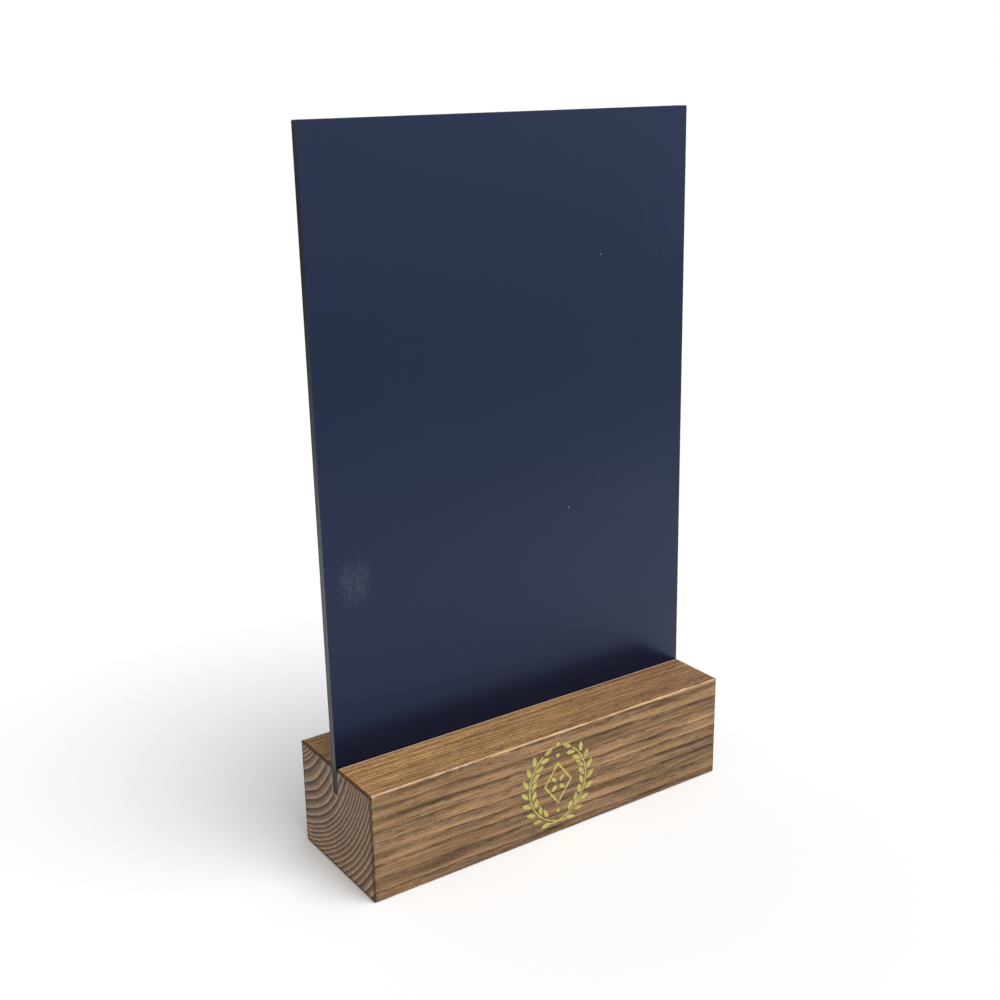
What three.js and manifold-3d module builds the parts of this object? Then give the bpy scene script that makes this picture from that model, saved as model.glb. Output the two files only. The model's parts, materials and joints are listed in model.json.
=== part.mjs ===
// Tabletop chalkboard: a thin double-sided writing board that stands in the open-ended slot of a solid wood block.
// Millimetres, +Z up, the front faces -Y. The origin is on the table, under the middle of the block.

import * as THREE from "three";
import { RoundedBoxGeometry } from "three/addons/geometries/RoundedBoxGeometry.js";
import { mergeVertices } from "three/addons/utils/BufferGeometryUtils.js";
import Module from "manifold-3d";

// Overall: the block and the board are cut to one length, so their ends are flush
const LENGTH = 152;

// Wood block: planed timber with its edges eased by sanding
const BLOCK_DEPTH = 49.4;
const BLOCK_HEIGHT = 39.8;
const BLOCK_EDGE_RADIUS = 0.8;

// Board: a laminated plastic sheet, with a thin coloured writing face on each side of a grey core
const BOARD_HEIGHT = 221;
const BOARD_CORNER_RADIUS = 0.5;
const BOARD_LEAN_DEGREES = 0.5;
const CORE_THICKNESS = 2.4;
const FACE_THICKNESS = 0.3;

// Slot: one groove along the whole block, a little wider than the board, with eased lips
const SLOT_DEPTH = 10.5;
const SLOT_LIP_RADIUS = 0.4;
const SLOT_FLOOR_RADIUS = 0.3;
const CLEARANCE_IN_FRONT = 0.2;
const CLEARANCE_BEHIND = 0.3;
const CLEARANCE_UNDER_FOOT = 0.3;

// Smoothness of the rounded edges
const EDGE_SEGMENTS = 5;
const ARC_SEGMENTS = 6;

// How far a cutter stands past the wood that it cuts
const CUTTER_OVERRUN = 5;

const boardThickness = CORE_THICKNESS + 2 * FACE_THICKNESS;
const lean = THREE.MathUtils.degToRad(BOARD_LEAN_DEGREES);

const wasm = await Module();
wasm.setup();

const stainedWood = new THREE.MeshStandardMaterial({ color: 0x8f6d48, roughness: 0.55, metalness: 0 });
const greyPlastic = new THREE.MeshStandardMaterial({ color: 0x5c5d60, roughness: 0.6, metalness: 0 });
const navyCoating = new THREE.MeshStandardMaterial({ color: 0x333a52, roughness: 0.4, metalness: 0 });

// A closed three.js geometry as a solid that can be cut.
function toSolid(geometry) {
  const bare = geometry.clone();
  bare.deleteAttribute("normal");
  bare.deleteAttribute("uv");
  const welded = mergeVertices(bare, 1e-4);
  return new wasm.Manifold(
    new wasm.Mesh({
      numProp: 3,
      vertProperties: welded.attributes.position.array,
      triVerts: new Uint32Array(welded.index.array),
    }),
  );
}

// A solid back as a three.js geometry with flat facets.
function toGeometry(solid) {
  const mesh = solid.getMesh();
  const geometry = new THREE.BufferGeometry();
  geometry.setAttribute("position", new THREE.BufferAttribute(mesh.vertProperties, mesh.numProp));
  geometry.setIndex(new THREE.BufferAttribute(mesh.triVerts, 1));
  const facets = geometry.toNonIndexed();
  facets.computeVertexNormals();
  return facets;
}

function namedMesh(name, geometry, material) {
  const mesh = new THREE.Mesh(geometry, material);
  mesh.name = name;
  return mesh;
}

// The slot's walls are upright, and the board leans back between them. Measured from the block's middle:
// the front wall clears the board's foot, which stands furthest forward, and the rear wall clears
// the board's back at the mouth, where it leans furthest back.
function slotWalls() {
  const halfThickness = boardThickness / 2 / Math.cos(lean);
  const leanInSlot = SLOT_DEPTH * Math.tan(lean);
  return {
    front: -halfThickness - leanInSlot - CLEARANCE_IN_FRONT,
    rear: halfThickness + CLEARANCE_BEHIND,
  };
}

// Cross-section of what the slot takes out, x along the block's depth and y up.
function slotProfile() {
  const { front, rear } = slotWalls();
  const floor = BLOCK_HEIGHT - SLOT_DEPTH;
  const lipCentre = BLOCK_HEIGHT - SLOT_LIP_RADIUS;
  const above = BLOCK_HEIGHT + CUTTER_OVERRUN;
  const quarter = Math.PI / 2;

  const profile = new THREE.Shape();
  profile.moveTo(front - SLOT_LIP_RADIUS, above);
  profile.lineTo(front - SLOT_LIP_RADIUS, BLOCK_HEIGHT);
  profile.absarc(front - SLOT_LIP_RADIUS, lipCentre, SLOT_LIP_RADIUS, quarter, 0, true);
  profile.lineTo(front, floor + SLOT_FLOOR_RADIUS);
  profile.absarc(
    front + SLOT_FLOOR_RADIUS, floor + SLOT_FLOOR_RADIUS, SLOT_FLOOR_RADIUS, 2 * quarter, 3 * quarter, false,
  );
  profile.lineTo(rear - SLOT_FLOOR_RADIUS, floor);
  profile.absarc(
    rear - SLOT_FLOOR_RADIUS, floor + SLOT_FLOOR_RADIUS, SLOT_FLOOR_RADIUS, 3 * quarter, 4 * quarter, false,
  );
  profile.lineTo(rear, lipCentre);
  profile.absarc(rear + SLOT_LIP_RADIUS, lipCentre, SLOT_LIP_RADIUS, 2 * quarter, quarter, true);
  profile.lineTo(rear + SLOT_LIP_RADIUS, above);
  profile.closePath();
  return profile;
}

// The slot's profile, run along the block's length and out of both ends.
function slotCutter() {
  const run = LENGTH + 2 * CUTTER_OVERRUN;
  const cutter = new THREE.ExtrudeGeometry(slotProfile(), {
    depth: run,
    bevelEnabled: false,
    curveSegments: ARC_SEGMENTS,
  });
  cutter.translate(0, 0, -run / 2);
  const acrossTheBlock = new THREE.Matrix4().makeBasis(
    new THREE.Vector3(0, 1, 0),
    new THREE.Vector3(0, 0, 1),
    new THREE.Vector3(1, 0, 0),
  );
  return cutter.applyMatrix4(acrossTheBlock);
}

// One piece of solid timber, eased along every edge, with the slot ploughed along its top.
function baseBlock() {
  const timber = new RoundedBoxGeometry(LENGTH, BLOCK_DEPTH, BLOCK_HEIGHT, EDGE_SEGMENTS, BLOCK_EDGE_RADIUS);
  timber.translate(0, 0, BLOCK_HEIGHT / 2);
  const slotted = toSolid(timber).subtract(toSolid(slotCutter()));
  return namedMesh("base_block", toGeometry(slotted), stainedWood);
}

// The board's outline, x along its width and y up from the middle of its foot.
function boardOutline() {
  const side = LENGTH / 2;
  const corner = BOARD_CORNER_RADIUS;
  const quarter = Math.PI / 2;

  const outline = new THREE.Shape();
  outline.moveTo(-side + corner, 0);
  outline.lineTo(side - corner, 0);
  outline.absarc(side - corner, corner, corner, -quarter, 0, false);
  outline.lineTo(side, BOARD_HEIGHT - corner);
  outline.absarc(side - corner, BOARD_HEIGHT - corner, corner, 0, quarter, false);
  outline.lineTo(-side + corner, BOARD_HEIGHT);
  outline.absarc(-side + corner, BOARD_HEIGHT - corner, corner, quarter, 2 * quarter, false);
  outline.lineTo(-side, corner);
  outline.absarc(-side + corner, corner, corner, 2 * quarter, 3 * quarter, false);
  return outline;
}

// One layer of the sheet, from its back plane to its front plane. Bonded layers share a plane exactly.
function sheetLayer(name, back, front, material) {
  const layer = new THREE.ExtrudeGeometry(boardOutline(), {
    depth: 1,
    bevelEnabled: false,
    curveSegments: ARC_SEGMENTS,
  });
  const position = layer.attributes.position;
  for (let i = 0; i < position.count; i++) {
    position.setZ(i, position.getZ(i) > 0.5 ? front : back);
  }
  return namedMesh(name, layer, material);
}

// The three bonded layers, modelled lying on their backs in the board's own group.
function boardSheet() {
  const outerPlane = boardThickness / 2;
  const bondPlane = CORE_THICKNESS / 2;
  const sheet = new THREE.Group();
  sheet.add(
    sheetLayer("board_core", -bondPlane, bondPlane, greyPlastic),
    sheetLayer("front_writing_face", bondPlane, outerPlane, navyCoating),
    sheetLayer("rear_writing_face", -outerPlane, -bondPlane, navyCoating),
  );
  return sheet;
}

// The sheet stood up on its foot in the slot, leaning back about the slot's mouth.
function standingBoard() {
  const sheet = boardSheet();
  sheet.position.y = -(SLOT_DEPTH - CLEARANCE_UNDER_FOOT);
  const leaning = new THREE.Group();
  leaning.add(sheet);
  leaning.rotation.x = Math.PI / 2 - lean;
  leaning.position.z = BLOCK_HEIGHT;
  return leaning;
}

const tabletopChalkboard = new THREE.Group();
tabletopChalkboard.add(baseBlock(), standingBoard());

export default tabletopChalkboard;
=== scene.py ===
import json
import math

import bmesh
import bpy
from mathutils import Matrix, Vector


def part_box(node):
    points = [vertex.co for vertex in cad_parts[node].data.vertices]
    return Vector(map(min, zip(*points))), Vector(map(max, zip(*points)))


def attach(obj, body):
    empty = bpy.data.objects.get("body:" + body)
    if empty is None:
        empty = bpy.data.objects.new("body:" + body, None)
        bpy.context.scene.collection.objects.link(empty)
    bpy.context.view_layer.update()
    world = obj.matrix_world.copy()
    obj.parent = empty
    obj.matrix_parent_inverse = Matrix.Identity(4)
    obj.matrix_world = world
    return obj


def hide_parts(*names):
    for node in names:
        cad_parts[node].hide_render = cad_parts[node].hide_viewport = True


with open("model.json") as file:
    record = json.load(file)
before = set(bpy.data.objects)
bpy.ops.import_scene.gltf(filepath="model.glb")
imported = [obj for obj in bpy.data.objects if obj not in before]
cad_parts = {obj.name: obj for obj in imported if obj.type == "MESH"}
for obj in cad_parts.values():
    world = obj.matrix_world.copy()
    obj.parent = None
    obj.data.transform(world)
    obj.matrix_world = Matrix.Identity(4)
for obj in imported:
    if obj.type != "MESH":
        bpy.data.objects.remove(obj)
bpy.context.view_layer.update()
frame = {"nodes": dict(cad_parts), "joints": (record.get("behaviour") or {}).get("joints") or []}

# A tabletop chalkboard: a slotted block of stained timber, and the navy writing board that stands in it.
# Metres, +Z up, the front faces -Y. Sizes that the solids already have are read from them.

MM = 0.001

# Camera, at the photograph's viewing angle
CAMERA_AIM = Vector((-6.3, 0.0, 121.1)) * MM
CAMERA_DISTANCE = 472.8 * MM
CAMERA_AZIMUTH = math.radians(-34.28)
CAMERA_ELEVATION = math.radians(17.61)
CAMERA_ROLL = math.radians(-0.93)
CAMERA_LENS = 49.03

# Folds sharper than this are edges of the form, and places nearer than this are the same
SHARP_FOLD = math.radians(30)
SAME_PLACE = 0.002 * MM

# Block: the long top edges are eased by the whole radius, and the others by a share of it
EDGE_RADIUS = 0.8 * MM
END_SHARE = 0.6
LIP_SHARE = 0.5
SLOT_END_SHARE = 0.3
EDGE_STEPS = 4
# The long edges are divided into stations, so that the sanding can wander by this much
STATION_SPACING = 1.5 * MM
ARRIS_WANDER = 0.22 * MM
ARRIS_WANDER_LENGTH = 9.0 * MM

# Board: a laminated sheet, its core a little short of its faces, its foot against the slot's front wall
SHEET_CORNER_RADIUS = 0.5 * MM
SHEET_CORNER_STEPS = 6
FACE_EDGE_BREAK = 0.07 * MM
FACE_EDGE_STEPS = 2
CORE_SET_BACK = 0.05 * MM
FOOT_GAP = 0.05 * MM

# Chalk on the front of the board: where it lies, how far it reaches, and how much it covers
SMUDGE_PLACE = (-65 * MM, -1 * MM, 104 * MM)
SMUDGE_REACH = (6 * MM, 9 * MM, 7.5 * MM)
SMUDGE_COVER = 0.052
SPECK_PLACES = ((23 * MM, 113 * MM), (37.5 * MM, 202 * MM))
SPECK_RADIUS = 0.35 * MM
SPECK_COVER = 0.45
HAZE_COVER = 0.016

# Gold ink: a generic wreath of two crossed branches round a lozenge
INK_PROUD = 0.03 * MM
INK_THICKNESS = 2 * INK_PROUD
STEM_THICKNESS = 1.8 * INK_PROUD
MIRRORED_SUNK = 1.15 * INK_PROUD
BRANCH_RADIUS = 15.5 * MM
BRANCH_OFFSET = 3.0 * MM
BRANCH_LEAVES = 8
TAIL_ANGLE = math.radians(275)
# Lengths along the stem, counted in steps from leaf to leaf: its bare tail, and the whole of it
BARE_TAIL = 1.9
STEM_STEPS = BRANCH_LEAVES + 2.1
STEM_WIDTH = 0.55 * MM
ARC_STEPS = 32
LEAF_STEP = math.radians(14.6)
LEAF_SPREAD = math.radians(36)
LEAF_REACH = 2.35 * MM
LEAF_ROOT = 0.6 * MM
TIP_LEAF_TURN = math.radians(98)
TIP_LEAF_REACH = 2.7 * MM
PETAL_REACH = 2.4 * MM
DOT_WIDTH = 1.5 * MM
DOT_HEIGHTS = (-11 * MM, 11 * MM, 15.4 * MM)

# Studio: the room, the lamp and the paper, and how bright they are in the object's reflections
ROOM_LIGHT = 0.44
LAMP_LIGHT = 2.15
LAMP_ANGLE = math.radians(42)
TOWARD_LAMP = Vector((0.16, -0.38, 0.91))
MIRRORED_LIGHT = 1.56
MIRRORED_REAR_LIGHT = 0.8
FLOOR_WIDTH = 40
FLOOR_DROP = 0.05 * MM
PAPER_SEEN = 0.97
PAPER_THROWN_BACK = 0.42

# Timber: growth rings about a pith that lies behind and above the block, in millimetres
PITH_Y = 39.9
PITH_Z = 61.2
PITH_FALL_PER_LENGTH = 0.0145
RING_FLATTENING = 0.965
# Vessels and rays, also in millimetres
VESSEL_LENGTH = 6
VESSEL_WIDTH = 0.5
RAYS_PER_RADIAN = 170.0
RAY_LENGTH = 5.5
RAY_HEIGHT = 1.2
# The periods of fast and slow growth: radius where one ends and the next begins, and rings up to there
GROWTH_PERIODS = (
    (25.0, 0),
    (35.0, 7),
    (38.0, 8),
    (42.5, 9),
    (52.0, 12),
    (57.5, 14),
    (68.5, 21),
    (74.0, 24),
    (78.0, 26),
    (82.5, 28),
    (95.0, 32),
)

# Stained timber on the long sides and on the ends: its ground, its early wood and its late wood
LONG_GRAIN = ((0.445, 0.268, 0.138, 1), (0.168, 0.106, 0.066, 1), (0.550, 0.345, 0.172, 1))
END_GRAIN = ((0.364, 0.231, 0.150, 1), (0.064, 0.039, 0.025, 1), (0.570, 0.410, 0.280, 1))
RAY_COLOUR = (0.46, 0.34, 0.24, 1)
PORE_COLOUR = (0.070, 0.042, 0.026, 1)
COOL_WOOD = (0.965, 1.0, 1.12, 1)
WARM_WOOD = (1.035, 1.0, 0.87, 1)
# Darker towards the foot, and towards the right end of the top
DARKENING_TINT = (0.68, 0.67, 0.74, 1)
# Painted shade: the top is tinted darker and yellower by the way it faces
PAINTED_TOP_SHADE = (0.855, 0.79, 0.655, 1)
# Painted light: the foot of the ends is made paler, against the shade that falls there
PAINTED_LIGHT_END_FOOT = (1.34, 1.32, 1.28, 1)
# How dark each shade gets on the front, the top and the ends
GRAIN_SHADES = (
    ("Streaks", 0.58, 0.70, 0.86),
    ("Flecks", 0.70, 0.62, 0.76),
    ("Tint", 0.84, 0.90, 0.95),
)
# How strongly each edge takes its colour, in the order in which they lie over each other
EDGE_COLOURS = (
    ("Slot inside", 0.5, (0.52, 0.36, 0.21, 1)),
    # Sanded paler along the slot's lips, and partly a painted highlight
    ("Slot lips and highlight", 0.55, (0.66, 0.46, 0.31, 1)),
    # Painted shade along the slot's mouth, where the board stands in it
    ("Slot mouth shade", 0.85, (0.050, 0.018, 0.010, 1)),
    ("Slot ends", 0.6, (0.62, 0.48, 0.34, 1)),
    # Rubbed paler along the top edges by use, and partly a painted highlight
    ("Rubbed edges and highlight", 0.75, (0.86, 0.60, 0.36, 1)),
    ("End edges", 0.9, (0.060, 0.024, 0.006, 1)),
)

# Ink, writing coat, chalk and core
GOLD = (0.80, 0.73, 0.22, 1)
GOLD_ON_EARLY_WOOD = (0.62, 0.55, 0.16, 1)
THIN_GOLD = (0.30, 0.21, 0.09, 1)
NAVY = (0.0008, 0.0055, 0.028, 1)
NAVY_GLOSS = (0.52, 0.63, 1.0, 1)
CHALK = (0.60, 0.65, 0.76, 1)
CORE_DARK = (0.009, 0.009, 0.010, 1)
CORE_PALE = (0.018, 0.018, 0.020, 1)
# The core where it stands in the slot, darker as a painted shade
CORE_SHADE_IN_SLOT = (0.010, 0.010, 0.011, 1)


# Selecting and editing

def select_only(piece):
    bpy.ops.object.select_all(action="DESELECT")
    piece.select_set(True)
    bpy.context.view_layer.objects.active = piece


def edit(piece, select_mode):
    select_only(piece)
    bpy.ops.object.mode_set(mode="EDIT")
    bpy.ops.mesh.select_mode(type=select_mode)
    bpy.ops.mesh.select_all(action="DESELECT")


def done_editing():
    bpy.ops.object.mode_set(mode="OBJECT")


def pick(piece, kind, test):
    """Selects the faces, edges or verts that pass the test, and nothing else."""
    bpy.ops.mesh.select_all(action="DESELECT")
    mesh = bmesh.from_edit_mesh(piece.data)
    for element in getattr(mesh, kind):
        if test(element):
            element.select_set(True)
    mesh.select_flush_mode()
    bmesh.update_edit_mesh(piece.data)


def middle(edge):
    return (edge.verts[0].co + edge.verts[1].co) / 2


def runs_along(edge, axis):
    direction = edge.verts[1].co - edge.verts[0].co
    return abs(direction[axis]) > 0.999 * direction.length


def folded(edge):
    return edge.calc_face_angle(0.0) > SHARP_FOLD


def at(value, place):
    return abs(value - place) < SAME_PLACE


def cut(point, normal):
    bpy.ops.mesh.select_all(action="SELECT")
    bpy.ops.mesh.bisect(plane_co=point, plane_no=normal)


def apply_place(piece):
    select_only(piece)
    bpy.ops.object.transform_apply(location=True, rotation=True, scale=True)


# Wood block

def slot_in_block():
    """The slot's floor height and its front and rear walls, read from the block's solid.

    The front wall is closed up on the foot of the board, which stands against it.
    """
    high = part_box("base_block")[1]
    inside = [
        vertex.co
        for vertex in frame["nodes"]["base_block"].data.vertices
        if abs(vertex.co.y) < high.y / 2 and high.z / 2 < vertex.co.z < high.z - 2 * EDGE_RADIUS
    ]
    floor = min(co.z for co in inside)
    front = min(co.y for co in inside)
    rear = max(co.y for co in inside)
    foot = min(vertex.co.y for vertex in frame["nodes"]["front_writing_face"].data.vertices)
    return floor, max(front, foot - FOOT_GAP), rear


def block_section(low, high, floor, front, rear):
    """The block's cross-section at its left end: a rectangle with the slot's notch cut from its top."""
    centre = (low + high) / 2
    bpy.ops.object.select_all(action="DESELECT")
    bpy.ops.mesh.primitive_plane_add(
        size=1, location=(low.x, centre.y, centre.z), rotation=(0, math.radians(90), 0)
    )
    block = bpy.context.object
    block.name = "stained_block"
    block.scale = (high.z - low.z, high.y - low.y, 1)
    apply_place(block)
    edit(block, "FACE")
    cut((0, front, 0), (0, 1, 0))
    cut((0, rear, 0), (0, 1, 0))
    cut((0, 0, floor), (0, 0, 1))

    def in_notch(face):
        place = face.calc_center_median()
        return front < place.y < rear and place.z > floor

    pick(block, "faces", in_notch)
    bpy.ops.mesh.delete(type="FACE")
    done_editing()
    return block


def run_to_length(block, length):
    """Extrudes the section along the grain and divides the long edges, so that they can wander."""
    edit(block, "FACE")
    bpy.ops.mesh.select_all(action="SELECT")
    bpy.ops.mesh.extrude_region_move(TRANSFORM_OT_translate={"value": (length, 0, 0)})
    bpy.ops.mesh.select_all(action="SELECT")
    bpy.ops.mesh.normals_make_consistent(inside=False)
    bpy.ops.mesh.dissolve_limited(angle_limit=math.radians(1))
    bpy.ops.mesh.select_mode(type="EDGE")
    pick(block, "edges", lambda edge: runs_along(edge, 0))
    bpy.ops.mesh.subdivide(number_cuts=round(length / STATION_SPACING))
    done_editing()


def ease_edges(block, low, high, floor, front, rear):
    """Rounds the long top edges fully, the ends and the foot less, and the slot's edges least."""

    def share(edge):
        place = middle(edge)
        on_end = at(place.x, low.x) or at(place.x, high.x)
        on_side = at(place.y, low.y) or at(place.y, high.y)
        on_top = at(place.z, high.z)
        on_bottom = at(place.z, low.z)
        between_walls = front - SAME_PLACE < place.y < rear + SAME_PLACE
        if between_walls and place.z > floor - SAME_PLACE:
            return LIP_SHARE if on_top and not on_end else SLOT_END_SHARE
        if on_end + on_side + on_top + on_bottom < 2:
            return 0.0
        return END_SHARE if on_end or on_bottom else 1.0

    edit(block, "EDGE")
    mesh = bmesh.from_edit_mesh(block.data)
    weight = mesh.edges.layers.float.new("bevel_weight_edge")
    for edge in mesh.edges:
        edge[weight] = share(edge) if folded(edge) else 0.0
    bmesh.update_edit_mesh(block.data)
    done_editing()
    bevel = block.modifiers.new("eased edges", "BEVEL")
    bevel.limit_method = "WEIGHT"
    bevel.width = EDGE_RADIUS
    bevel.segments = EDGE_STEPS
    bevel.use_clamp_overlap = True
    bpy.ops.object.modifier_apply(modifier=bevel.name)


def let_edges_wander(block, low, high):
    """Sands the outer edges unevenly, by a little of their radius and only inwards."""

    def on_outer_edge(vertex):
        """Close to two sides of the block at once."""
        gaps = sorted(
            min(abs(vertex.co[i] - low[i]), abs(vertex.co[i] - high[i])) for i in range(3)
        )
        return gaps[1] < 0.9 * EDGE_RADIUS

    group = block.vertex_groups.new(name="outer_edges")
    group.add([vertex.index for vertex in block.data.vertices if on_outer_edge(vertex)], 1.0, "REPLACE")
    texture = bpy.data.textures.new("sanding", "CLOUDS")
    texture.noise_scale = ARRIS_WANDER_LENGTH
    texture.noise_depth = 2
    select_only(block)
    sanding = block.modifiers.new("uneven sanding", "DISPLACE")
    sanding.texture = texture
    sanding.texture_coords = "LOCAL"
    sanding.vertex_group = group.name
    sanding.strength = ARRIS_WANDER
    sanding.mid_level = 1.0
    bpy.ops.object.modifier_apply(modifier=sanding.name)


def smooth_the_rounds(piece):
    """Shades the rounded edges smooth and leaves the planed faces flat."""
    edit(piece, "FACE")
    bpy.ops.mesh.select_all(action="SELECT")
    bpy.ops.mesh.faces_shade_flat()
    pick(piece, "faces", lambda face: max(abs(part) for part in face.normal) < 0.9999)
    bpy.ops.mesh.faces_shade_smooth()
    done_editing()


def stained_block():
    low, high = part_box("base_block")
    floor, front, rear = slot_in_block()
    block = block_section(low, high, floor, front, rear)
    run_to_length(block, high.x - low.x)
    ease_edges(block, low, high, floor, front, rear)
    let_edges_wander(block, low, high)
    smooth_the_rounds(block)
    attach(block, "base")
    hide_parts("base_block")
    return block


# Writing board

def board_lean():
    """How far the board leans back, from the direction in which it lifts out."""
    lift = Vector(frame["joints"][0]["axis"])
    return math.atan2(lift.y, lift.z)


def upright_box(node):
    """A layer's lowest and highest corners with the lean taken out."""
    stand_up = Matrix.Rotation(board_lean(), 3, "X")
    corners = [stand_up @ vertex.co for vertex in frame["nodes"][node].data.vertices]
    low = Vector(min(corner[i] for corner in corners) for i in range(3))
    high = Vector(max(corner[i] for corner in corners) for i in range(3))
    return low, high


def sheet_layer(name, node, set_back, edge_break):
    """One layer of the laminate, cut square with rounded corners and leaned back as it stands."""
    low, high = upright_box(node)
    size = high - low
    bpy.ops.object.select_all(action="DESELECT")
    bpy.ops.mesh.primitive_cube_add(size=1, location=(low + high) / 2)
    layer = bpy.context.object
    layer.name = name
    layer.scale = (size.x - 2 * set_back, size.y, size.z - 2 * set_back)
    apply_place(layer)
    edit(layer, "EDGE")
    pick(layer, "edges", lambda edge: runs_along(edge, 1))
    bpy.ops.mesh.bevel(offset=SHEET_CORNER_RADIUS, segments=SHEET_CORNER_STEPS, affect="EDGES")
    if edge_break:
        pick(layer, "edges", lambda edge: folded(edge) and not runs_along(edge, 1))
        bpy.ops.mesh.bevel(offset=edge_break, segments=FACE_EDGE_STEPS, affect="EDGES")
    done_editing()
    smooth_the_rounds(layer)
    layer.rotation_euler.x = -board_lean()
    apply_place(layer)
    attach(layer, "board")
    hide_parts(node)
    return layer


def writing_board():
    """The two writing faces with the core between them, each in its own finish."""
    coat = navy_writing_coat()
    for name, node in (
        ("writing_face_front", "front_writing_face"),
        ("writing_face_rear", "rear_writing_face"),
    ):
        face = sheet_layer(name, node, 0.0, FACE_EDGE_BREAK)
        dress(face, coat)
    core = sheet_layer("sheet_core", "board_core", CORE_SET_BACK, 0.0)
    dress(core, grey_core())


# Ornament in gold ink

def front_face():
    """The middle of the block's front face."""
    low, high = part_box("base_block")
    return Vector((0, low.y, high.z / 2))


def raise_ink(blank):
    """Gives a flat blank the thickness of the ink, from just under the wood's surface."""
    edit(blank, "FACE")
    bpy.ops.mesh.select_all(action="SELECT")
    bpy.ops.mesh.extrude_region_move(TRANSFORM_OT_translate={"value": (0, -INK_THICKNESS, 0)})
    bpy.ops.mesh.select_all(action="SELECT")
    bpy.ops.mesh.normals_make_consistent(inside=False)
    done_editing()


def flat_blank(vertices, length, height):
    """A flat shape in the plane of the front face, with its corners on an ellipse."""
    bpy.ops.object.select_all(action="DESELECT")
    bpy.ops.mesh.primitive_circle_add(
        vertices=vertices, radius=0.5, fill_type="NGON", rotation=(math.radians(90), 0, 0)
    )
    blank = bpy.context.object
    blank.scale = (length, height, 1)
    apply_place(blank)
    return blank


def ink_disc(vertices, length, width, drawn_out=0.0):
    """A disc of ink lying along X. Where its two ends are drawn out it is a leaf."""
    blank = flat_blank(vertices, length, width)
    edit(blank, "VERT")
    for side in (-1, 1):
        pick(blank, "verts", lambda vertex: at(vertex.co.x, side * length / 2))
        bpy.ops.transform.translate(value=(side * drawn_out, 0, 0))
    done_editing()
    raise_ink(blank)
    return blank


def ink_arc(radius, width, span):
    """A stem of ink on a circle about the origin, from the +X direction round towards +Z."""
    bpy.ops.object.select_all(action="DESELECT")
    bpy.ops.mesh.primitive_plane_add(size=1, location=(radius, -INK_PROUD, 0))
    stem = bpy.context.object
    stem.scale = (width, STEM_THICKNESS, 1)
    apply_place(stem)
    edit(stem, "FACE")
    bpy.ops.mesh.select_all(action="SELECT")
    bpy.ops.mesh.spin(steps=ARC_STEPS, angle=span, center=(0, 0, 0), axis=(0, 1, 0))
    bpy.ops.mesh.select_all(action="SELECT")
    bpy.ops.mesh.remove_doubles(threshold=SAME_PLACE)
    bpy.ops.mesh.normals_make_consistent(inside=False)
    done_editing()
    return stem


def ink_lozenge(length, height, line):
    """A lozenge drawn with a line of even width."""
    lozenge = flat_blank(4, length, height)
    edit(lozenge, "FACE")
    bpy.ops.mesh.select_all(action="SELECT")
    bpy.ops.mesh.inset(thickness=line)
    bpy.ops.mesh.delete(type="FACE")
    done_editing()
    raise_ink(lozenge)
    return lozenge


def printed(blank, across, up, turn, mirrored=False):
    """A copy of a blank, turned in the plane of the front face and set down on it.

    The mirrored half is a little thinner, so that no two faces share a plane where stems cross.
    """
    copy = blank.copy()
    copy.data = blank.data.copy()
    bpy.context.scene.collection.objects.link(copy)
    side = -1 if mirrored else 1
    sunk = MIRRORED_SUNK if mirrored else INK_PROUD
    copy.location = front_face() + Vector((side * across, sunk, up))
    copy.rotation_euler.y = -side * turn
    copy.scale.x = side
    apply_place(copy)
    return copy


def leaf_on_stem(leaf, angle, beside, turn, reach, mirrored):
    """A leaf turned by its own angle, whose root lies on the stem or beside it."""
    root = BRANCH_RADIUS + beside
    across = BRANCH_OFFSET + root * math.cos(angle) + reach * math.cos(turn)
    up = root * math.sin(angle) + reach * math.sin(turn)
    return printed(leaf, across, up, turn, mirrored)


def branch(leaf, stem, mirrored):
    """A stem with leaves in pairs and one at its tip, growing up the left of the wreath, or its right."""
    tip_angle = TAIL_ANGLE - LEAF_STEP * STEM_STEPS
    pieces = [printed(stem, BRANCH_OFFSET, 0, tip_angle, mirrored)]
    for number in range(BRANCH_LEAVES):
        for side, late_by in ((1, 0.0), (-1, 0.5)):
            angle = TAIL_ANGLE - LEAF_STEP * (number + late_by + BARE_TAIL)
            turn = angle - math.radians(90) + side * LEAF_SPREAD
            pieces.append(leaf_on_stem(leaf, angle, LEAF_ROOT * side, turn, LEAF_REACH, mirrored))
    turn = tip_angle - TIP_LEAF_TURN
    pieces.append(leaf_on_stem(leaf, tip_angle, 0.0, turn, TIP_LEAF_REACH, mirrored))
    return pieces


def front_ornament():
    leaf = ink_disc(vertices=12, length=3.5 * MM, width=1.7 * MM, drawn_out=0.35 * MM)
    petal = ink_disc(vertices=10, length=2.9 * MM, width=1.5 * MM, drawn_out=0.3 * MM)
    dot = ink_disc(vertices=12, length=DOT_WIDTH, width=DOT_WIDTH)
    stem = ink_arc(BRANCH_RADIUS, STEM_WIDTH, LEAF_STEP * STEM_STEPS)
    lozenge = ink_lozenge(length=12.5 * MM, height=17 * MM, line=0.75 * MM)
    pieces = branch(leaf, stem, mirrored=False) + branch(leaf, stem, mirrored=True)
    pieces.append(printed(lozenge, 0, 0, 0))
    for quarter in range(4):
        turn = math.radians(45 + 90 * quarter)
        pieces.append(printed(petal, PETAL_REACH * math.cos(turn), PETAL_REACH * math.sin(turn), turn))
    for height in DOT_HEIGHTS:
        pieces.append(printed(dot, 0, height, 0))
    for blank in (leaf, petal, dot, stem, lozenge):
        bpy.data.objects.remove(blank)
    select_only(pieces[0])
    for piece in pieces:
        piece.select_set(True)
    bpy.ops.object.join()
    ornament = bpy.context.object
    ornament.name = "front_ornament"
    edit(ornament, "FACE")
    bpy.ops.mesh.select_all(action="SELECT")
    bpy.ops.mesh.normals_make_consistent(inside=False)
    done_editing()
    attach(ornament, "base")
    return ornament


# Shader trees

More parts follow.
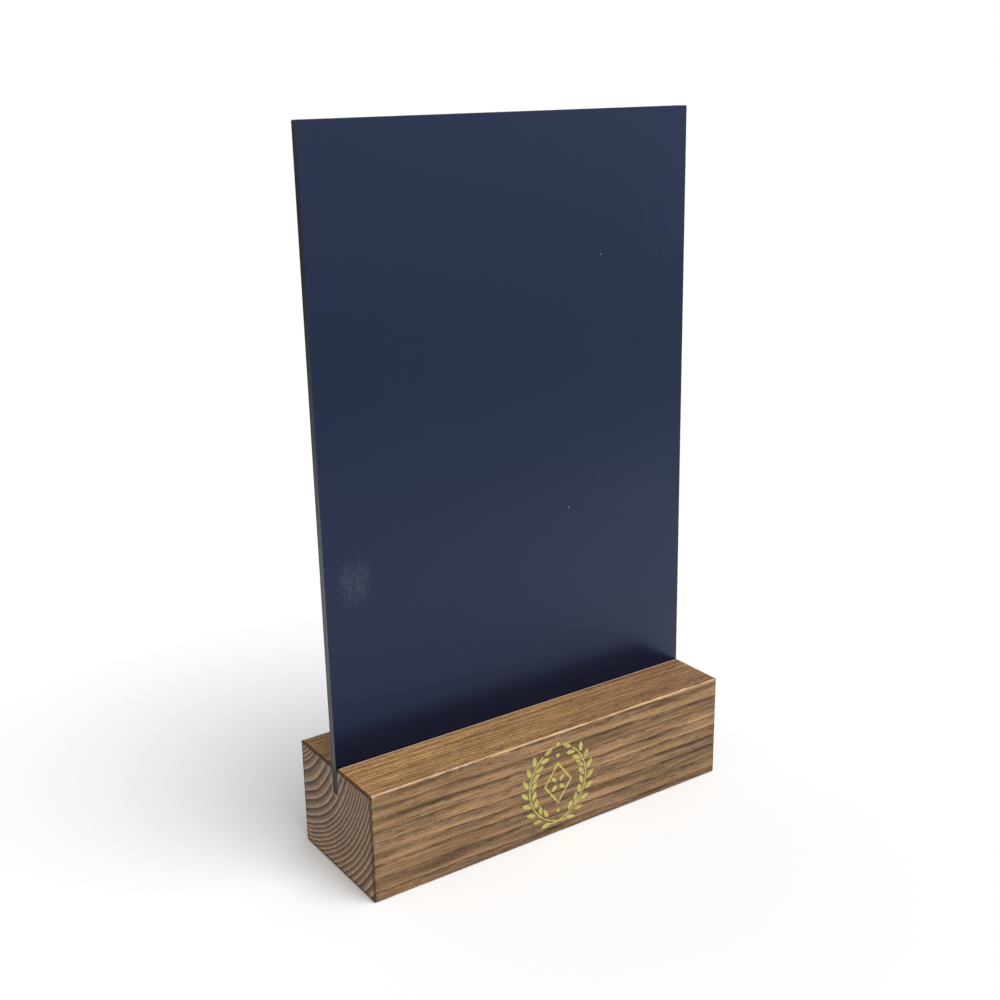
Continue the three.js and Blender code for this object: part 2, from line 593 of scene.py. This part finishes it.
class Tree:
    """A shader tree with one short call for each kind of node that the finishes use."""

    def __init__(self, tree):
        self.tree = tree

    def add(self, kind, **settings):
        node = self.tree.nodes.new(kind)
        for key, value in settings.items():
            setattr(node, key, value)
        return node

    def feed(self, socket, value):
        if isinstance(value, bpy.types.NodeSocket):
            self.tree.links.new(value, socket)
        elif value is not None:
            socket.default_value = value

    def math(self, operation, first, second=None, third=None, clamp=False):
        node = self.add("ShaderNodeMath", operation=operation, use_clamp=clamp)
        for socket, value in zip(node.inputs, (first, second, third)):
            self.feed(socket, value)
        return node.outputs[0]

    def vector_math(self, operation, first, second=None):
        node = self.add("ShaderNodeVectorMath", operation=operation)
        self.feed(node.inputs[0], first)
        self.feed(node.inputs[1], second)
        return node.outputs["Value" if operation in ("LENGTH", "DISTANCE") else "Vector"]

    def scaled(self, vector, factors):
        return self.vector_math("MULTIPLY", vector, factors)

    def in_millimetres(self, place):
        return self.scaled(place, (1 / MM, 1 / MM, 1 / MM))

    def apart(self, vector):
        node = self.add("ShaderNodeSeparateXYZ")
        self.feed(node.inputs[0], vector)
        return node.outputs

    def together(self, x, y, z):
        node = self.add("ShaderNodeCombineXYZ")
        for socket, value in zip(node.inputs, (x, y, z)):
            self.feed(socket, value)
        return node.outputs[0]

    def ramp(self, value, low, high, to_low=0.0, to_high=1.0, smooth=True):
        node = self.add("ShaderNodeMapRange", interpolation_type="SMOOTHSTEP" if smooth else "LINEAR")
        for key, number in (
            ("Value", value),
            ("From Min", low),
            ("From Max", high),
            ("To Min", to_low),
            ("To Max", to_high),
        ):
            self.feed(node.inputs[key], number)
        return node.outputs[0]

    def noise(self, vector, scale=1.0, detail=2.0, roughness=0.5, distortion=0.0):
        node = self.add("ShaderNodeTexNoise")
        self.feed(node.inputs["Vector"], vector)
        self.feed(node.inputs["Scale"], scale)
        self.feed(node.inputs["Detail"], detail)
        self.feed(node.inputs["Roughness"], roughness)
        self.feed(node.inputs["Distortion"], distortion)
        return node.outputs[0]

    def mix(self, factor, first, second, blend="MIX"):
        node = self.add("ShaderNodeMix", data_type="RGBA", blend_type=blend, clamp_factor=True)
        self.feed(node.inputs[0], factor)
        self.feed(node.inputs[6], first)
        self.feed(node.inputs[7], second)
        return node.outputs[2]

    def tinted(self, factor, colour, tint):
        return self.mix(factor, colour, tint, blend="MULTIPLY")

    def bump(self, height, depth):
        node = self.add("ShaderNodeBump")
        self.feed(node.inputs["Height"], height)
        self.feed(node.inputs["Distance"], depth)
        self.feed(node.inputs["Strength"], 1.0)
        return node.outputs[0]

    def group(self, group, place):
        node = self.add("ShaderNodeGroup", node_tree=group)
        self.feed(node.inputs["Place"], place)
        return node.outputs

    def put_out(self, mask, value):
        """One more mask that comes out of a node group."""
        self.tree.interface.new_socket(name=mask, in_out="OUTPUT", socket_type="NodeSocketFloat")
        self.feed(self.tree.nodes["Group Output"].inputs[mask], value)


def mask_group(name, amount):
    """An empty node group for masks, which takes a place and the amount of one effect."""
    group = bpy.data.node_groups.new(name, "ShaderNodeTree")
    group.interface.new_socket(name="Place", in_out="INPUT", socket_type="NodeSocketVector")
    socket = group.interface.new_socket(name=amount, in_out="INPUT", socket_type="NodeSocketFloat")
    socket.default_value = 1.0
    tree = Tree(group)
    tree.add("NodeGroupOutput")
    return group, tree, tree.add("NodeGroupInput").outputs


def new_material(name):
    material = bpy.data.materials.new(name)
    material.use_nodes = True
    tree = Tree(material.node_tree)
    shader = material.node_tree.nodes["Principled BSDF"]
    place = tree.add("ShaderNodeTexCoord")
    return material, tree, shader.inputs, place.outputs


def dress(piece, material):
    piece.data.materials.clear()
    piece.data.materials.append(material)


# Timber pattern

def growth_curve(tree, radius):
    """Rings grown out to a radius, by straight runs from one period of growth to the next."""
    first_radius, first_ring = GROWTH_PERIODS[0]
    last_radius, last_ring = GROWTH_PERIODS[-1]
    share = tree.ramp(radius, first_radius, last_radius, smooth=False)
    curve = tree.add("ShaderNodeFloatCurve")
    points = curve.mapping.curves[0].points
    for end_radius, ring in GROWTH_PERIODS[1:-1]:
        points.new(
            (end_radius - first_radius) / (last_radius - first_radius),
            (ring - first_ring) / (last_ring - first_ring),
        )
    for point in points:
        point.handle_type = "VECTOR"
    curve.mapping.update()
    tree.feed(curve.inputs["Value"], share)
    return tree.math("MULTIPLY", curve.outputs[0], last_ring - first_ring)


def centred(tree, value, spread):
    """A noise value moved to swing about zero."""
    return tree.math("MULTIPLY", tree.math("SUBTRACT", value, 0.5), spread)


def grain_noise(tree, place, along, across, detail=2.0, roughness=0.5):
    """Noise whose size along the grain and across it is given in millimetres."""
    stretched = tree.scaled(place, (1 / along, 1 / across, 1 / across))
    return tree.noise(stretched, detail=detail, roughness=roughness)


def about_the_pith(tree, along, across, up):
    """Distance from the pith and bearing from it."""
    toward_front = tree.math("DIVIDE", tree.math("SUBTRACT", PITH_Y, across), RING_FLATTENING)
    pith_height = tree.math("MULTIPLY_ADD", along, -PITH_FALL_PER_LENGTH, PITH_Z)
    below = tree.math("SUBTRACT", pith_height, up)
    squares = tree.math(
        "ADD",
        tree.math("MULTIPLY", toward_front, toward_front),
        tree.math("MULTIPLY", below, below),
    )
    return tree.math("SQRT", squares), tree.math("ARCTAN2", below, toward_front)


def ring_wander(tree, place):
    """How far the rings stray, which changes over a longer way along the grain than across it."""
    drift = centred(tree, grain_noise(tree, place, 60, 30, detail=1.0), 1.3)
    ripple = centred(tree, grain_noise(tree, place, 15, 9), 0.5)
    return tree.math("ADD", drift, ripple)


def vessels(tree, bent_place, season, onset):
    """Long thin tubes along the grain, crowded in the early wood and scattered elsewhere."""
    cell = (1 / VESSEL_LENGTH, 1 / VESSEL_WIDTH, 1 / VESSEL_WIDTH)
    cells = tree.add("ShaderNodeTexVoronoi", feature="F1", voronoi_dimensions="3D")
    tree.feed(cells.inputs["Vector"], tree.scaled(bent_place, cell))
    tree.feed(cells.inputs["Scale"], 1.0)
    chance = tree.apart(cells.outputs["Color"])[0]
    bore = tree.ramp(cells.outputs["Distance"], 0.26, 0.5, 1.0, 0.0)
    crowd = tree.math("MAXIMUM", tree.ramp(season, 0.05, 0.55, 1.0, 0.2), onset)
    return tree.math("MULTIPLY", bore, tree.math("GREATER_THAN", crowd, chance))


def rays_from_pith(tree, radius, bearing, along):
    """Thin pale rays that run out from the pith."""
    spoke = tree.together(
        tree.math("MULTIPLY", bearing, RAYS_PER_RADIAN),
        tree.math("MULTIPLY", radius, 1 / RAY_LENGTH),
        tree.math("MULTIPLY", along, 1 / RAY_HEIGHT),
    )
    return tree.ramp(tree.noise(spoke, detail=1.0), 0.56, 0.7)


def timber_group():
    """Ring-porous timber as a solid pattern, so the rings run on round each edge and into the slot."""
    group, tree, given = mask_group("ring porous timber", "Waviness")
    place = tree.in_millimetres(given["Place"])
    along, across, up = tree.apart(place)
    radius, bearing = about_the_pith(tree, along, across, up)
    wander = tree.math("MULTIPLY", ring_wander(tree, place), given["Waviness"])
    season = tree.math("FRACT", growth_curve(tree, tree.math("ADD", radius, wander)))

    # A ring starts dark and porous, lightens slowly, and ends in a pale dense line
    onset = tree.ramp(season, 0.92, 1.0)
    fading = tree.math("POWER", tree.ramp(season, 0.0, 0.7, 1.0, 0.0, smooth=False), 1.9)
    early = tree.math("MAXIMUM", onset, fading)
    late = tree.math("MULTIPLY", tree.ramp(season, 0.5, 0.84), tree.ramp(season, 0.88, 0.96, 1.0, 0.0))

    # Vessels, streaks and patches bend a little on their way along the grain
    bend = centred(tree, grain_noise(tree, place, 11, 2), 0.8)
    bent_place = tree.together(along, tree.math("ADD", across, bend), tree.math("ADD", up, bend))

    tree.put_out("Early wood", early)
    tree.put_out("Late wood", late)
    tree.put_out("Pores", vessels(tree, bent_place, season, onset))
    tree.put_out("Fibres", grain_noise(tree, place, 9, 0.35, detail=3.0, roughness=0.65))
    tree.put_out("Streaks", grain_noise(tree, bent_place, 34, 2.0))
    tree.put_out("Flecks", grain_noise(tree, place, 0.9, 0.32, roughness=0.6))
    tree.put_out("Patches", grain_noise(tree, bent_place, 13, 1.7))
    tree.put_out("Tint", grain_noise(tree, place, 55, 8))
    tree.put_out("Hue", grain_noise(tree, place, 14, 1.9, detail=3.0, roughness=0.6))
    tree.put_out("Rays", rays_from_pith(tree, radius, bearing, along))
    return group


def outer_edge_masks(tree, place, uneven):
    """Where the top edges are worn pale, partly rubbed and partly as a painted highlight, and the edges
    that frame the ends. Distances are in millimetres.
    """
    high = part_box("base_block")[1]
    length, depth, height = high.x / MM, high.y / MM, high.z / MM
    radius = EDGE_RADIUS / MM
    along, across, up = tree.apart(place)
    over_side = tree.math("SUBTRACT", tree.math("ABSOLUTE", across), depth - radius)
    over_top = tree.math("SUBTRACT", up, height - radius)
    over_foot = tree.math("SUBTRACT", radius, up)
    over_end = tree.math("SUBTRACT", tree.math("ABSOLUTE", along), length - radius)

    top_edge = tree.math("ADD", tree.math("MINIMUM", over_side, over_top), uneven)
    patchiness = tree.ramp(grain_noise(tree, place, 16, 8), 0.35, 0.65, 0.55, 1.0)
    # Rubbed pale by use, and partly a painted highlight
    tree.put_out("Rubbed edges and highlight", tree.math("MULTIPLY", tree.ramp(top_edge, 0.1, 0.45), patchiness))

    over_any = tree.math("MAXIMUM", tree.math("MAXIMUM", over_side, over_top), over_foot)
    end_edge = tree.math("MINIMUM", over_end, tree.math("ADD", over_any, 0.45))
    end_edge = tree.ramp(tree.math("MULTIPLY_ADD", uneven, 0.3, end_edge), -0.15, 0.35)
    fullest_at_top = tree.ramp(over_top, -0.9, 0.0, 0.7, 1.0)
    tree.put_out("End edges", tree.math("MULTIPLY", end_edge, fullest_at_top))


def slot_edge_masks(tree, place, uneven):
    """The slot's mouth, darkened as a painted shade, the lips beside it, paler partly as a painted
    highlight, its walls and its open ends. Distances are in millimetres.
    """
    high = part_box("base_block")[1]
    length, height = high.x / MM, high.z / MM
    floor, front, rear = slot_in_block()
    floor, front, rear = floor / MM, front / MM, rear / MM
    lip_width = 0.45
    along, across, up = tree.apart(place)
    from_middle = tree.math("ABSOLUTE", tree.math("SUBTRACT", across, (front + rear) / 2))
    into_slot = tree.math("SUBTRACT", (rear - front) / 2 + lip_width, from_middle)
    on_top = tree.math("SUBTRACT", up, height - lip_width)

    # The lips are sanded paler, and partly a painted highlight runs along them
    lip = tree.math("MINIMUM", tree.math("ADD", into_slot, 0.55), on_top)
    lip = tree.math("MULTIPLY_ADD", uneven, 0.5, lip)
    tree.put_out("Slot lips and highlight", tree.ramp(lip, -0.1, 0.3))
    # Painted shade: a dark line along the slot's mouth
    mouth = tree.math("MULTIPLY_ADD", uneven, 0.2, tree.math("MINIMUM", into_slot, on_top))
    tree.put_out("Slot mouth shade", tree.ramp(mouth, -0.05, 0.15))

    below_lips = tree.math("SUBTRACT", height - 0.3, up)
    above_floor = tree.math("SUBTRACT", up, floor - 0.3)
    inside = tree.math("MINIMUM", tree.math("SUBTRACT", into_slot, 0.35), below_lips)
    inside = tree.math("MINIMUM", inside, above_floor)
    tree.put_out("Slot inside", tree.ramp(inside, 0.0, 0.3))

    at_end = tree.math("SUBTRACT", tree.math("ABSOLUTE", along), length - 0.35)
    slot_end = tree.math("MINIMUM", tree.math("SUBTRACT", into_slot, 0.1), at_end)
    slot_end = tree.math("MINIMUM", slot_end, above_floor)
    tree.put_out("Slot ends", tree.ramp(slot_end, 0.0, 0.2))


def block_edges_group():
    """Masks for where sanding and staining leave the block's edges lighter or darker, and for painted
    highlight and shade.
    """
    group, tree, given = mask_group("block edges", "Unevenness")
    place = tree.in_millimetres(given["Place"])
    patchy = grain_noise(tree, place, 7, 3, detail=3.0, roughness=0.6)
    uneven = tree.math("MULTIPLY", centred(tree, patchy, 1.2), given["Unevenness"])
    outer_edge_masks(tree, place, uneven)
    slot_edge_masks(tree, place, uneven)
    return group


# Finishes

def ring_colours(tree, early, late, colours):
    """The ground colour mixed towards that of the early wood, and then of the late wood."""
    ground, early_wood, late_wood = colours
    return tree.mix(late, tree.mix(early, ground, early_wood), late_wood)


def wood_colour(tree, grain, top, end):
    """Colour of the rings, of the rays on the ends, and of warmer and cooler wood."""
    patchy = tree.ramp(grain["Patches"], 0.36, 0.64, 0.30, 1.25, smooth=False)
    patchy = tree.math("MULTIPLY", patchy, tree.ramp(top, 0.0, 1.0, 1.0, 0.5, smooth=False))
    long_early = tree.math("MULTIPLY", grain["Early wood"], patchy, clamp=True)
    long_late = tree.math("MULTIPLY", grain["Late wood"], 0.7)
    end_late = tree.math("MULTIPLY", grain["Late wood"], 0.9)
    long_side = ring_colours(tree, long_early, long_late, LONG_GRAIN)
    end_side = ring_colours(tree, grain["Early wood"], end_late, END_GRAIN)
    end_side = tree.mix(tree.math("MULTIPLY", grain["Rays"], 0.18), end_side, RAY_COLOUR)
    warmth = tree.mix(tree.ramp(grain["Hue"], 0.3, 0.7), COOL_WOOD, WARM_WOOD)
    return tree.tinted(1.0, tree.mix(end, long_side, end_side), warmth)


def grain_shade(tree, grain, top, end):
    """Lighter and darker wood. Each shade has its own strength on the front, the top and the ends."""
    shade = tree.ramp(grain["Fibres"], 0.3, 0.7, 0.84, 1.14, smooth=False)
    for label, front_low, top_low, end_low in GRAIN_SHADES:
        darkest = tree.ramp(top, 0.0, 1.0, front_low, top_low, smooth=False)
        darkest = tree.ramp(end, 0.0, 1.0, darkest, end_low, smooth=False)
        palest = tree.math("SUBTRACT", 2.0, darkest)
        one = tree.ramp(grain[label], 0.3, 0.7, darkest, palest, smooth=False)
        shade = tree.math("MULTIPLY", shade, one)
    return shade


def darkening_and_painted_light(tree, colour, place, top, end):
    """Darker towards the foot, except on the ends, and towards the right end of the top.

    A painted shade tints the top darker and yellower, and painted light makes the foot of the ends paler.
    """
    along, _, up = tree.apart(tree.in_millimetres(place))
    darkening = tree.math("MULTIPLY", tree.ramp(up, 18.0, 5.0, 0.0, 0.5), tree.math("SUBTRACT", 1.0, end))
    darkening = tree.math("MAXIMUM", darkening, tree.math("MULTIPLY", top, tree.ramp(along, -20.0, 76.0)))
    colour = tree.tinted(darkening, colour, DARKENING_TINT)
    # Painted shade: the top, picked out by the way it faces, is tinted darker and yellower
    colour = tree.tinted(top, colour, PAINTED_TOP_SHADE)
    # Painted light: the foot of each end is made paler, against the shade that falls there
    painted_light_low_end = tree.math("MULTIPLY", end, tree.ramp(up, 16.0, 0.0))
    return tree.tinted(painted_light_low_end, colour, PAINTED_LIGHT_END_FOOT)


def stained_timber(timber, block_edges):
    """Brown-stained timber: dark in the pores, greyer on the ends, and rubbed pale on the edges, partly as
    a painted highlight; with painted shade and light in places.
    """
    material, tree, shader, place = new_material("stained_timber")
    grain = tree.group(timber, place["Object"])
    edges = tree.group(block_edges, place["Object"])
    facing = tree.apart(place["Normal"])
    end = tree.ramp(tree.math("ABSOLUTE", facing[0]), 0.6, 0.95)
    top = tree.ramp(facing[2], 0.6, 0.95)

    colour = tree.tinted(1.0, wood_colour(tree, grain, top, end), grain_shade(tree, grain, top, end))
    colour = tree.mix(tree.math("MULTIPLY", grain["Pores"], 0.46), colour, PORE_COLOUR)
    colour = darkening_and_painted_light(tree, colour, place["Object"], top, end)
    for label, strength, edge_colour in EDGE_COLOURS:
        colour = tree.mix(tree.math("MULTIPLY", edges[label], strength), colour, edge_colour)
    tree.feed(shader["Base Color"], colour)

    roughness = tree.ramp(grain["Late wood"], 0.0, 1.0, 0.58, 0.48)
    tree.feed(shader["Roughness"], tree.math("MULTIPLY_ADD", grain["Pores"], 0.2, roughness))
    shader["Specular IOR Level"].default_value = 0.125

    relief = tree.math("MULTIPLY", grain["Pores"], -1.0)
    relief = tree.math("MULTIPLY_ADD", grain["Early wood"], -0.3, relief)
    relief = tree.math("MULTIPLY_ADD", grain["Fibres"], 0.5, relief)
    tree.feed(shader["Normal"], tree.bump(relief, 0.08 * MM))
    return material


def gold_ink(timber):
    """Flat gold printing ink, thinner over the open pores of the timber."""
    material, tree, shader, place = new_material("gold_ink")
    grain = tree.group(timber, place["Object"])
    cover = tree.noise(tree.scaled(place["Object"], (500, 500, 1500)), detail=4.0, roughness=0.65)
    thin = tree.math("MULTIPLY", grain["Pores"], tree.ramp(cover, 0.4, 0.6))
    thin = tree.math("MULTIPLY_ADD", tree.ramp(cover, 0.50, 0.72), 0.6, thin, clamp=True)
    colour = tree.mix(grain["Early wood"], GOLD, GOLD_ON_EARLY_WOOD)
    colour = tree.mix(tree.math("MULTIPLY", thin, 0.7), colour, THIN_GOLD)
    tree.feed(shader["Base Color"], colour)
    tree.feed(shader["Roughness"], tree.ramp(thin, 0.0, 1.0, 0.42, 0.6))
    shader["Specular IOR Level"].default_value = 0.19
    relief = tree.math("MULTIPLY_ADD", grain["Pores"], -1.0, grain["Fibres"])
    tree.feed(shader["Normal"], tree.bump(relief, 0.03 * MM))
    return material


def wiped_haze(tree, place):
    """Chalk left behind in faint clouds by wiping."""
    cloud = tree.noise(tree.scaled(place, (9, 9, 6)), detail=3.0)
    wiped = tree.noise(tree.scaled(place, (60, 60, 18)), detail=4.0, distortion=0.6)
    haze = tree.math("MULTIPLY", tree.ramp(cloud, 0.48, 0.78), tree.ramp(wiped, 0.4, 0.7))
    return tree.math("MULTIPLY", haze, HAZE_COVER)


def finger_smudge(tree, place):
    """One powdery smudge with a ragged edge."""
    from_smudge = tree.vector_math("SUBTRACT", place, SMUDGE_PLACE)
    stretched = tree.scaled(from_smudge, tuple(1 / reach for reach in SMUDGE_REACH))
    ragged = tree.noise(place, scale=420.0, detail=4.0, roughness=0.6)
    edge = tree.math("MULTIPLY_ADD", ragged, 1.1, tree.vector_math("LENGTH", stretched))
    powder = tree.ramp(tree.noise(place, scale=800.0, detail=3.0, roughness=0.6), 0.40, 0.64, 0.4, 1.3)
    smudge = tree.math("MULTIPLY", tree.ramp(edge, 0.85, 1.95, 1.0, 0.0), powder)
    return tree.math("MULTIPLY", smudge, SMUDGE_COVER)


def specks(tree, place):
    """Round specks of chalk, by their places across and up the front."""
    every = 0.0
    for across, up in SPECK_PLACES:
        away = tree.vector_math("DISTANCE", tree.scaled(place, (1, 0, 1)), (across, 0, up))
        one = tree.ramp(away, 0.5 * SPECK_RADIUS, SPECK_RADIUS, SPECK_COVER, 0.0)
        every = tree.math("MAXIMUM", one, every)
    return every


def navy_writing_coat():
    """Satin navy coat with a fine tooth and wiped chalk haze, and on the front a smudge and two specks."""
    material, tree, shader, place = new_material("navy_writing_coat")
    marks = tree.math("MAXIMUM", finger_smudge(tree, place["Object"]), specks(tree, place["Object"]))
    on_front = tree.ramp(tree.apart(place["Normal"])[1], 0.0, -0.5)
    chalk = tree.math("MULTIPLY_ADD", marks, on_front, wiped_haze(tree, place["Object"]))
    tree.feed(shader["Base Color"], tree.mix(chalk, NAVY, CHALK))
    tree.feed(shader["Roughness"], tree.ramp(chalk, 0.0, 0.1, 0.26, 0.36))
    shader["Specular IOR Level"].default_value = 0.47
    shader["Specular Tint"].default_value = NAVY_GLOSS
    tooth = tree.noise(place["Object"], scale=2600.0, detail=2.0)
    tree.feed(shader["Normal"], tree.bump(tooth, 0.004 * MM))
    return material


def grey_core():
    """Sawn edge of the near-black core, with fine tool marks, duller where it stands in the slot and
    darker there by a painted shade.
    """
    material, tree, shader, place = new_material("grey_core")
    marks = tree.noise(tree.scaled(place["Object"], (900, 900, 2600)), detail=3.0)
    colour = tree.mix(tree.ramp(marks, 0.35, 0.7), CORE_DARK, CORE_PALE)
    mouth_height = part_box("base_block")[1].z
    _, _, height = tree.apart(place["Object"])
    # Painted shade: the core is darker where it stands in the slot, and rougher there
    in_slot = tree.ramp(height, mouth_height + 1 * MM, mouth_height - 2 * MM)
    tree.feed(shader["Base Color"], tree.mix(in_slot, colour, CORE_SHADE_IN_SLOT))
    roughness = tree.ramp(marks, 0.3, 0.7, 0.26, 0.36)
    tree.feed(shader["Roughness"], tree.math("MULTIPLY_ADD", in_slot, 0.25, roughness))
    shader["Specular IOR Level"].default_value = 0.19
    tree.feed(shader["Normal"], tree.bump(marks, 0.006 * MM))
    return material


# Stage, lights and camera

def floor_in_front(tree, across, depth, distance):
    """Seen in reflections: painted shade close to the block, except towards the right, then paper, a
    greyer band and far off white.
    """
    from_block = tree.ramp(depth, -0.075, -0.145, smooth=False)
    shaded = tree.mix(from_block, (0.38, 0.36, 0.36, 1), (0.94, 0.885, 0.845, 1))
    from_right = tree.math("MULTIPLY_ADD", depth, 0.8, across)
    paper = tree.mix(tree.ramp(from_right, 0.03, 0.08), shaded, (0.93, 0.92, 0.89, 1))
    # Painted reflection: beyond the paper a greyer band, far off in front white, and bluer to one side
    greyer_band = tree.mix(tree.ramp(distance, 0.28, 0.75), paper, (0.49, 0.58, 0.57, 1))
    wall = tree.mix(tree.ramp(distance, 1.0, 3.2), greyer_band, (1, 1, 1, 1))
    bearing = tree.math("DIVIDE", across, depth)
    blue_side = tree.math("MULTIPLY", tree.ramp(bearing, -0.6, -0.92), tree.ramp(distance, 0.8, 1.6))
    return tree.tinted(blue_side, wall, (0.70, 0.80, 0.90, 1))


def floor_behind(tree, distance):
    """Seen in reflections: paper with a little painted shade close to the block, then a grey band that
    darkens.
    """
    rear = tree.mix(tree.ramp(distance, 0.17, 0.24), (0.82, 0.82, 0.82, 1), (1, 1, 1, 1))
    rear = tree.mix(tree.ramp(distance, 0.30, 0.62), rear, (0.46, 0.46, 0.46, 1))
    return tree.mix(tree.ramp(distance, 0.6, 1.3), rear, (0.15, 0.15, 0.16, 1))


def paper_floor():
    """White paper to the eye, which throws less light back at the object than white would.

    In reflections only, the floor shows a painted reflection, brightened past its lighting: painted shade
    close to the block, and beyond the paper greyer bands.
    """
    bpy.ops.object.select_all(action="DESELECT")
    bpy.ops.mesh.primitive_plane_add(size=FLOOR_WIDTH, location=(0, 0, -FLOOR_DROP))
    floor = bpy.context.object
    floor.name = "paper_floor"
    material, tree, shader, place = new_material("white_paper")
    path = tree.add("ShaderNodeLightPath").outputs
    distance = tree.vector_math("LENGTH", place["Object"])
    across, depth, _ = tree.apart(place["Object"])
    front = floor_in_front(tree, across, depth, distance)
    # Seen only in reflections, the floor's colour is painted and brightened past its lighting
    mirrored = tree.mix(tree.ramp(depth, -0.1, 0.1), front, floor_behind(tree, distance))
    mirrored = tree.tinted(1.0, mirrored, (MIRRORED_LIGHT, MIRRORED_LIGHT, MIRRORED_LIGHT, 1))
    plain = tree.ramp(path["Is Camera Ray"], 0.0, 1.0, PAPER_THROWN_BACK, PAPER_SEEN, smooth=False)
    tree.feed(shader["Base Color"], tree.mix(path["Is Glossy Ray"], plain, mirrored))
    shader["Roughness"].default_value = 0.9
    shader["Specular IOR Level"].default_value = 0.0
    dress(floor, material)


def studio_light():
    """A pale room for soft light from all round, and one large soft lamp above the front.

    In reflections the room is bright in front of the object and dimmer behind it.
    """
    world = bpy.data.worlds.new("pale_room")
    bpy.context.scene.world = world
    world.use_nodes = True
    tree = Tree(world.node_tree)
    background = world.node_tree.nodes["Background"]
    tree.feed(background.inputs["Color"], (1, 1, 1, 1))
    path = tree.add("ShaderNodeLightPath").outputs
    seen = tree.math("ADD", path["Is Camera Ray"], path["Is Transmission Ray"], clamp=True)
    strength = tree.ramp(seen, 0.0, 1.0, ROOM_LIGHT, 1.0, smooth=False)
    toward_rear = tree.apart(tree.add("ShaderNodeTexCoord").outputs["Generated"])[1]
    mirrored = tree.ramp(toward_rear, -0.1, 0.3, MIRRORED_LIGHT, MIRRORED_REAR_LIGHT)
    strength = tree.ramp(path["Is Glossy Ray"], 0.0, 1.0, strength, mirrored, smooth=False)
    tree.feed(background.inputs["Strength"], strength)

    lamp = bpy.data.lights.new("soft_lamp", "SUN")
    lamp.energy = LAMP_LIGHT
    lamp.angle = LAMP_ANGLE
    holder = bpy.data.objects.new("soft_lamp", lamp)
    holder.rotation_euler = TOWARD_LAMP.to_track_quat("Z", "Y").to_euler()
    bpy.context.scene.collection.objects.link(holder)


def photograph_camera():
    camera = bpy.data.cameras.new("photograph_camera")
    camera.lens = CAMERA_LENS
    camera.sensor_width = 36
    camera.clip_start = 0.01
    holder = bpy.data.objects.new("photograph_camera", camera)
    turn = (
        Matrix.Rotation(CAMERA_AZIMUTH, 4, "Z")
        @ Matrix.Rotation(math.radians(90) - CAMERA_ELEVATION, 4, "X")
        @ Matrix.Rotation(CAMERA_ROLL, 4, "Z")
    )
    back_from_aim = turn @ Vector((0, 0, CAMERA_DISTANCE))
    holder.matrix_world = Matrix.Translation(CAMERA_AIM + back_from_aim) @ turn
    bpy.context.scene.collection.objects.link(holder)
    bpy.context.scene.camera = holder


photograph_camera()
studio_light()
paper_floor()
bpy.context.scene.view_settings.view_transform = "Standard"

timber = timber_group()
dress(stained_block(), stained_timber(timber, block_edges_group()))
dress(front_ornament(), gold_ink(timber))
writing_board()
